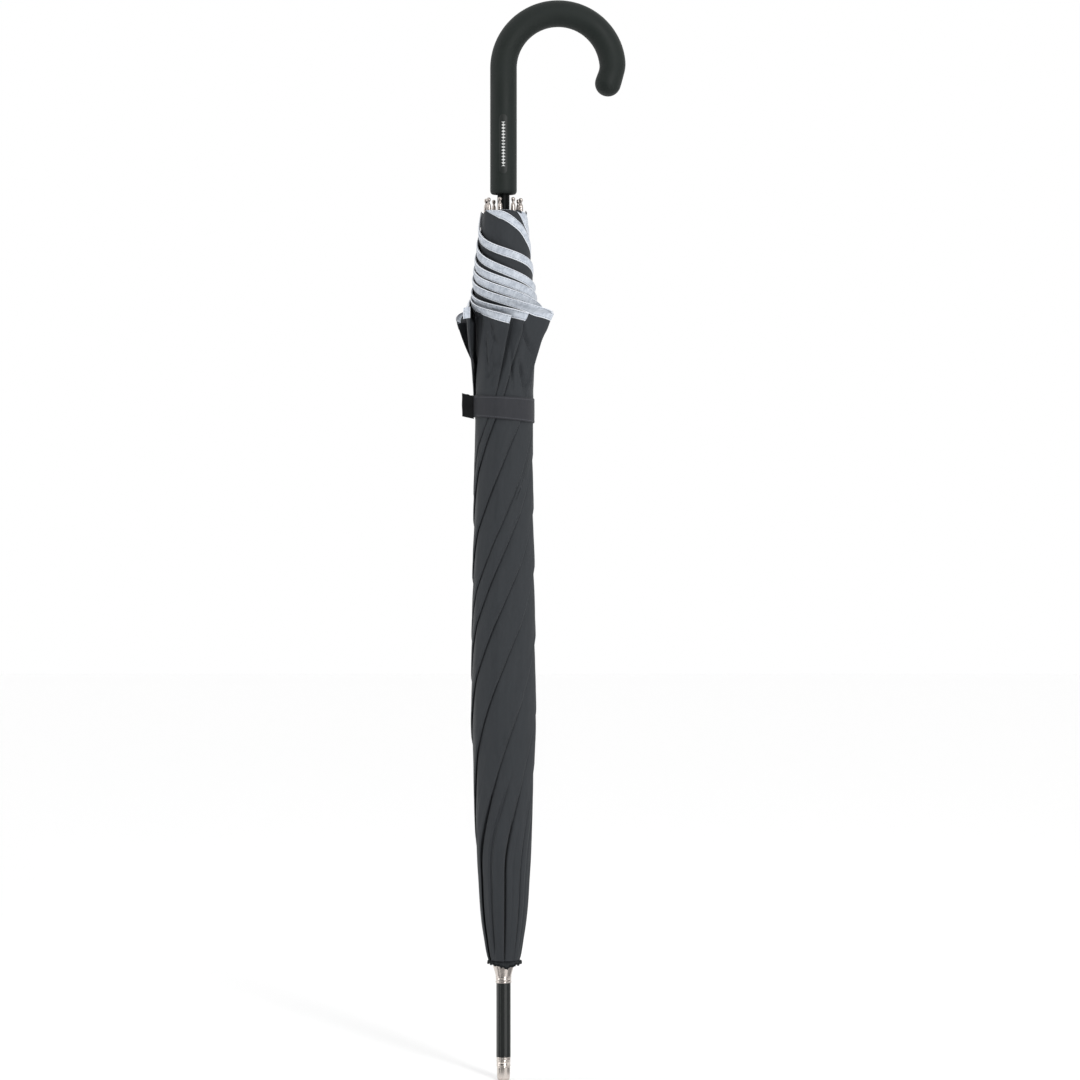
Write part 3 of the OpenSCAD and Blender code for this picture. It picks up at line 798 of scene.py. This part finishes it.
# ---------------------------------------------------------------- the strap's black end
rows, cols = 24, 12
q, w = np.meshgrid(np.linspace(0, 1, rows), np.linspace(0, 1, cols), indexing="ij")
ragged = 1.1 * waves(w * 9, 0 * w, 31, 5, 0.1, 0.4) * (q > 0.9)
z = 544.6 + 19.0 * q + ragged * (1 - w) + 2.2 * w
x = -24.6 - 9.4 * w + 0.5 * waves(q * 20, w * 9, 33, 4, 0.03, 0.1)
y = -6.6 - 1.6 * w + 0.8 * waves(q * 22, w * 10, 34, 4, 0.02, 0.08)
tab = make("strap_end", np.stack([x, y, z], -1).reshape(-1, 3), grid_faces(rows, cols), TAB,
           uv_grid(w * 0.0094, q * 0.0235))
thicken(tab, 0.0011)
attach(tab, "strap_tab")
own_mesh(tab)
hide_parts("strap_tab")

# ---------------------------------------------------------------- rosette
# a frilled ring of cloth with a black rolled rim
rows, cols, rim_cols = 12, 288, 10
a = around(cols)


def frill(q):
    """Middle line of the frill at a share q of its width."""
    ruffle = np.sin(a * 15 + 0.6 * np.sin(a * 3)) + 0.45 * np.sin(a * 26 + 1.0) + 0.4 * np.sin(a * 7 + 2)
    dip = np.exp(-np.abs((np.mod(a - 278 * RAD + math.pi, TURN) - math.pi) / 0.75) ** 1.35)
    out = smooth01((q - 0.25) / 0.6)
    rr = 7.0 + 6.6 * q - 2.4 * dip * q + 0.3 * out * np.cos(a * 15 + 1.2)
    z = 100.2 - 2.9 * q ** 2 + 0.40 * out * ruffle - 4.1 * dip * q ** 1.5
    return rr * np.cos(a) + 0.9 * q, rr * np.sin(a), z


points, uv = [], []
for q in np.linspace(0, 1, rows):
    points.append(np.stack(frill(q), -1))
    uv.append(uv_grid(a * 0.012, q * 0.009))
rosette = make("rosette_frill", np.concatenate(points), grid_faces(rows, cols, close_cols=True), ROSETTE,
               np.concatenate(uv))
thicken(rosette, 0.0006)

x, y, z = frill(1.0)
bead = 1.0 + 0.2 * np.sin(a * 31 + 0.8 * np.sin(a * 5)) + 0.14 * np.sin(a * 47 + 2)
points = []
for g in around(rim_cols):
    out = 0.75 * bead * np.cos(g)
    points.append(np.stack([x + out * np.cos(a), y + out * np.sin(a), z + 0.2 + bead * np.sin(g)], -1))
roll = make("rosette_rim", np.concatenate(points),
            grid_faces(rim_cols, cols, close_rows=True, close_cols=True, flip=True), RIM,
            uv_grid(a[None] * 0.0145, np.arange(rim_cols)[:, None] * 0.0006))
for ob in (rosette, roll):
    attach(ob, "shaft")
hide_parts("crown_rosette")

# ---------------------------------------------------------------- collar
COLLAR_PROFILE = [
    (6.04, 90.6), (6.04, 80.0), (6.3, 80.0), (6.5, 80.12), (6.62, 80.4), (6.62, 81.0), (6.46, 81.2),
    (6.24, 81.3), (6.24, 81.7), (6.42, 81.85), (6.42, 83.7), (6.2, 83.85), (6.2, 84.3), (6.6, 84.5),
    (6.62, 85.0), (6.46, 85.3), (6.5, 85.7), (6.6, 86.6), (7.05, 88.2), (7.5, 89.7), (8.1, 91.6),
    (8.75, 94.3), (8.66, 94.5), (7.9, 93.6), (7.3, 92.0), (6.6, 90.8),
]
v, f = lathe(COLLAR_PROFILE, 96, close=True)
collar = make("collar_bell", v, f, NICKEL)
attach(collar, "shaft")
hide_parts("crown_collar")

# ---------------------------------------------------------------- ferrule cap with a toothed upper edge
CAP_PROFILE = [
    (0.0, 0.0), (3.4, 0.0), (4.1, 0.12), (4.75, 0.5), (5.1, 1.1), (5.25, 1.9), (5.34, 3.2),
    (5.56, 10.4), (5.62, 10.7), (5.3, 10.85), (5.26, 11.2), (5.32, 11.3), (5.84, 11.45), (5.88, 11.8),
    (5.86, 12.3), (5.68, 12.5), (5.62, 12.7), (5.68, 14.7), (5.34, 14.85), (5.32, 15.2), (5.36, 15.3),
    (5.9, 15.45), (5.92, 15.8), (5.88, 16.2), (5.72, 16.4), (5.74, 16.6), (5.86, 18.4),
]
n = 144
v, f = lathe(CAP_PROFILE, n)
a = around(n)
teeth = 18.7 + 0.55 * np.abs(np.sin(a * 6)) ** 0.6
top = [np.stack([r * np.cos(a), r * np.sin(a), z], -1)
       for r, z in ((5.9, teeth), (5.75, teeth + 0.02), (5.15, 18.4 + 0 * a))]
v = np.concatenate([v, *top])
f = np.concatenate([f, grid_faces(4, n, (len(CAP_PROFILE) - 1) * n, close_cols=True)])
ferrule = make("ferrule_cap", v, f, CAPMET)
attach(ferrule, "shaft")
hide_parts("ferrule_tip")

# ---------------------------------------------------------------- handle
GRIP_R, CROOK_R, END_R = 11.0, 45.0, 10.7  # radius of the grip, of the crook's middle line, and of its end
CROOK_Z = 834.0  # where the crook's bend starts
# radius and height of the rounded lower mouth
MOUTH = [
    (5.05, 732.6), (8.3, 732.6), (8.55, 732.4), (8.6, 731.9), (8.6, 730.35), (8.75, 730.05), (9.1, 730.0),
    (9.5, 730.05),
]
path, rads = [], []
for z in np.concatenate([[730.35, 730.9, 731.7, 732.8], np.linspace(735, CROOK_Z, 26)[:-1]]):
    path.append((0.0, 0.0, z))
    e = (z - 730) / 2.8
    rads.append(GRIP_R if e > 1 else GRIP_R - 1.3 * (1 - e) ** 2)
for g in np.linspace(180, -17, 120):
    reach = CROOK_R - 2.0 * float(smooth01((6 - g) / 23))
    path.append((CROOK_R + reach * math.cos(g * RAD), 0.0, CROOK_Z + reach * math.sin(g * RAD)))
    rads.append(GRIP_R - 0.3 * float(smooth01((20 - g) / 30)) - 0.3 * bell((g + 5) / 6))
rads[-1] = END_R
path, rads = np.array(path), np.array(rads)
tan = np.gradient(path, axis=0)
tan /= np.linalg.norm(tan, axis=1)[:, None]
side = np.array([0, 1.0, 0])
nrm = np.cross(tan, side)
n = 72
a = around(n)
cos_a, sin_a = np.cos(a)[:, None], np.sin(a)[:, None]
rings = path[:, None] + rads[:, None, None] * (cos_a[None] * nrm[:, None] + sin_a[None] * side)
cap = []
for g in np.linspace(0, 88, 14)[1:] * RAD:
    ring = END_R * math.cos(g) * (cos_a * nrm[-1] + sin_a * side)
    cap.append(path[-1] + tan[-1] * END_R * math.sin(g) + ring)
low = [np.stack([r * np.cos(a) * nrm[0][0], r * np.sin(a), np.full(n, z)], -1) for r, z in MOUTH]
rings = np.concatenate([np.stack(low), rings, np.stack(cap)])
handle = make("crook_handle", rings.reshape(-1, 3), grid_faces(len(rings), n, close_cols=True), HANDLE)
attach(handle, "shaft")
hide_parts("hook_handle")

# ---------------------------------------------------------------- label
# a stadium with a low rim, bent round the grip
LABEL_Z = 770.5  # height of its middle
LABEL_HALF, LABEL_END = 21.0, 3.5  # half its straight part, radius of its ends
# share of the outline, and radius from the shaft's axis
LABEL_STEPS = [
    (1.0, 10.9), (0.97, 11.05), (0.93, 11.12), (0.86, 11.12), (0.82, 11.05), (0.7, 11.04), (0.45, 11.04),
    (0.2, 11.04), (0.03, 11.04),
]
cols = 120
c = around(cols)
points, uv = [], []
for q, out in LABEL_STEPS:
    px = LABEL_END * q * np.cos(c)
    half = LABEL_HALF * min(1, 0.15 + q)
    pz = LABEL_Z + np.where(np.sin(c) >= 0, 1, -1) * half + LABEL_END * q * np.sin(c)
    ang = px / GRIP_R
    points.append(np.stack([out * np.sin(ang), -out * np.cos(ang), pz], -1))
    uv.append(uv_grid(px * MM, (pz - LABEL_Z) * MM))
label = make("label_plain", np.concatenate(points),
             grid_faces(len(LABEL_STEPS), cols, close_cols=True, flip=True), LABEL, np.concatenate(uv))
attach(label, "shaft")
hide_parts("label_plate")

# ---------------------------------------------------------------- stage
FLOOR = 9000.0  # half the floor's side
CARD_R, CARD_H = 2400.0, 1600.0  # distance and height of the upright cards
scene = bpy.context.scene
world = bpy.data.worlds.new("studio")
scene.world = world
world.use_nodes = True
world.node_tree.nodes["Background"].inputs["Color"].default_value = (1, 1, 1, 1)
world.node_tree.nodes["Background"].inputs["Strength"].default_value = 1.0

v = np.array([[x, y, 0] for y in (-FLOOR, FLOOR) for x in (-FLOOR, FLOOR)])
floor_mat, _, _ = material("floor_white", (0.985, 0.985, 0.985), 0.9)
floor = make("floor", v, grid_faces(2, 2), floor_mat)


def area_light(name, loc, target, size, power):
    """A white rectangular light that faces a target, in metres and watts."""
    light = bpy.data.lights.new(name, "AREA")
    light.shape, light.size, light.size_y, light.energy = "RECTANGLE", size[0], size[1], power
    o = bpy.data.objects.new(name, light)
    scene.collection.objects.link(o)
    o.location = loc
    o.rotation_mode = "QUATERNION"
    o.rotation_quaternion = (Vector(target) - Vector(loc)).to_track_quat("-Z", "Y")


def bent_card(name, b0, b1, reach, mat):
    """A card between two bearings in degrees; reach gives the radius and height of both its edges."""
    ring = np.linspace(b0, b1, 12) * RAD
    v = np.array([[r * math.cos(g), r * math.sin(g), z] for r, z in reach for g in ring])
    return make(name, v, grid_faces(2, len(ring)), mat, smooth=False)


area_light("key", (0.88, -2.1, 1.1), (0, 0, 0.45), (0.35, 1.7), 29)
area_light("rim", (-2.0, -0.3, 0.9), (0, 0, 0.5), (0.3, 1.8), 7)

# dark cards round the front, out of the camera's view, give the metal and the lacquer something to mirror
dark, _, _ = material("card_dark", (0.01, 0.01, 0.01), 0.95)
for nm, b0, b1 in (("card_front", 222, 300), ("card_right", 313, 335), ("card_left", 186, 212)):
    card = bent_card(nm, b0, b1, ((CARD_R, 0.0), (CARD_R, CARD_H)), dark)
    card.visible_camera = card.visible_shadow = False

# grey cards just above the floor stop its white from showing in the metal
low_card, _, _ = material("card_grey", (0.30, 0.30, 0.30), 0.95)
for nm, b0, b1 in (("card_low_left", 186, 212), ("card_low_front", 222, 286), ("card_low_right", 331, 400)):
    card = bent_card(nm, b0, b1, ((20.0, 1.5), (2390.0, 1.5)), low_card)
    card.visible_camera = card.visible_shadow = card.visible_diffuse = False

LENS, SENSOR = 120, 36  # mm
HALF_VIEW = 0.4453  # half the width seen at the shaft's distance, metres
CAM_X, CAM_Z = 0.0301, 0.445
cam = bpy.data.cameras.new("camera")
cam.lens, cam.sensor_width, cam.type = LENS, SENSOR, "PERSP"
cam_o = bpy.data.objects.new("camera", cam)
scene.collection.objects.link(cam_o)
cam_o.location = (CAM_X, -HALF_VIEW * LENS / (SENSOR / 2), CAM_Z)
cam_o.rotation_euler = (math.pi / 2, 0, 0)
scene.camera = cam_o
scene.view_settings.view_transform = "Standard"
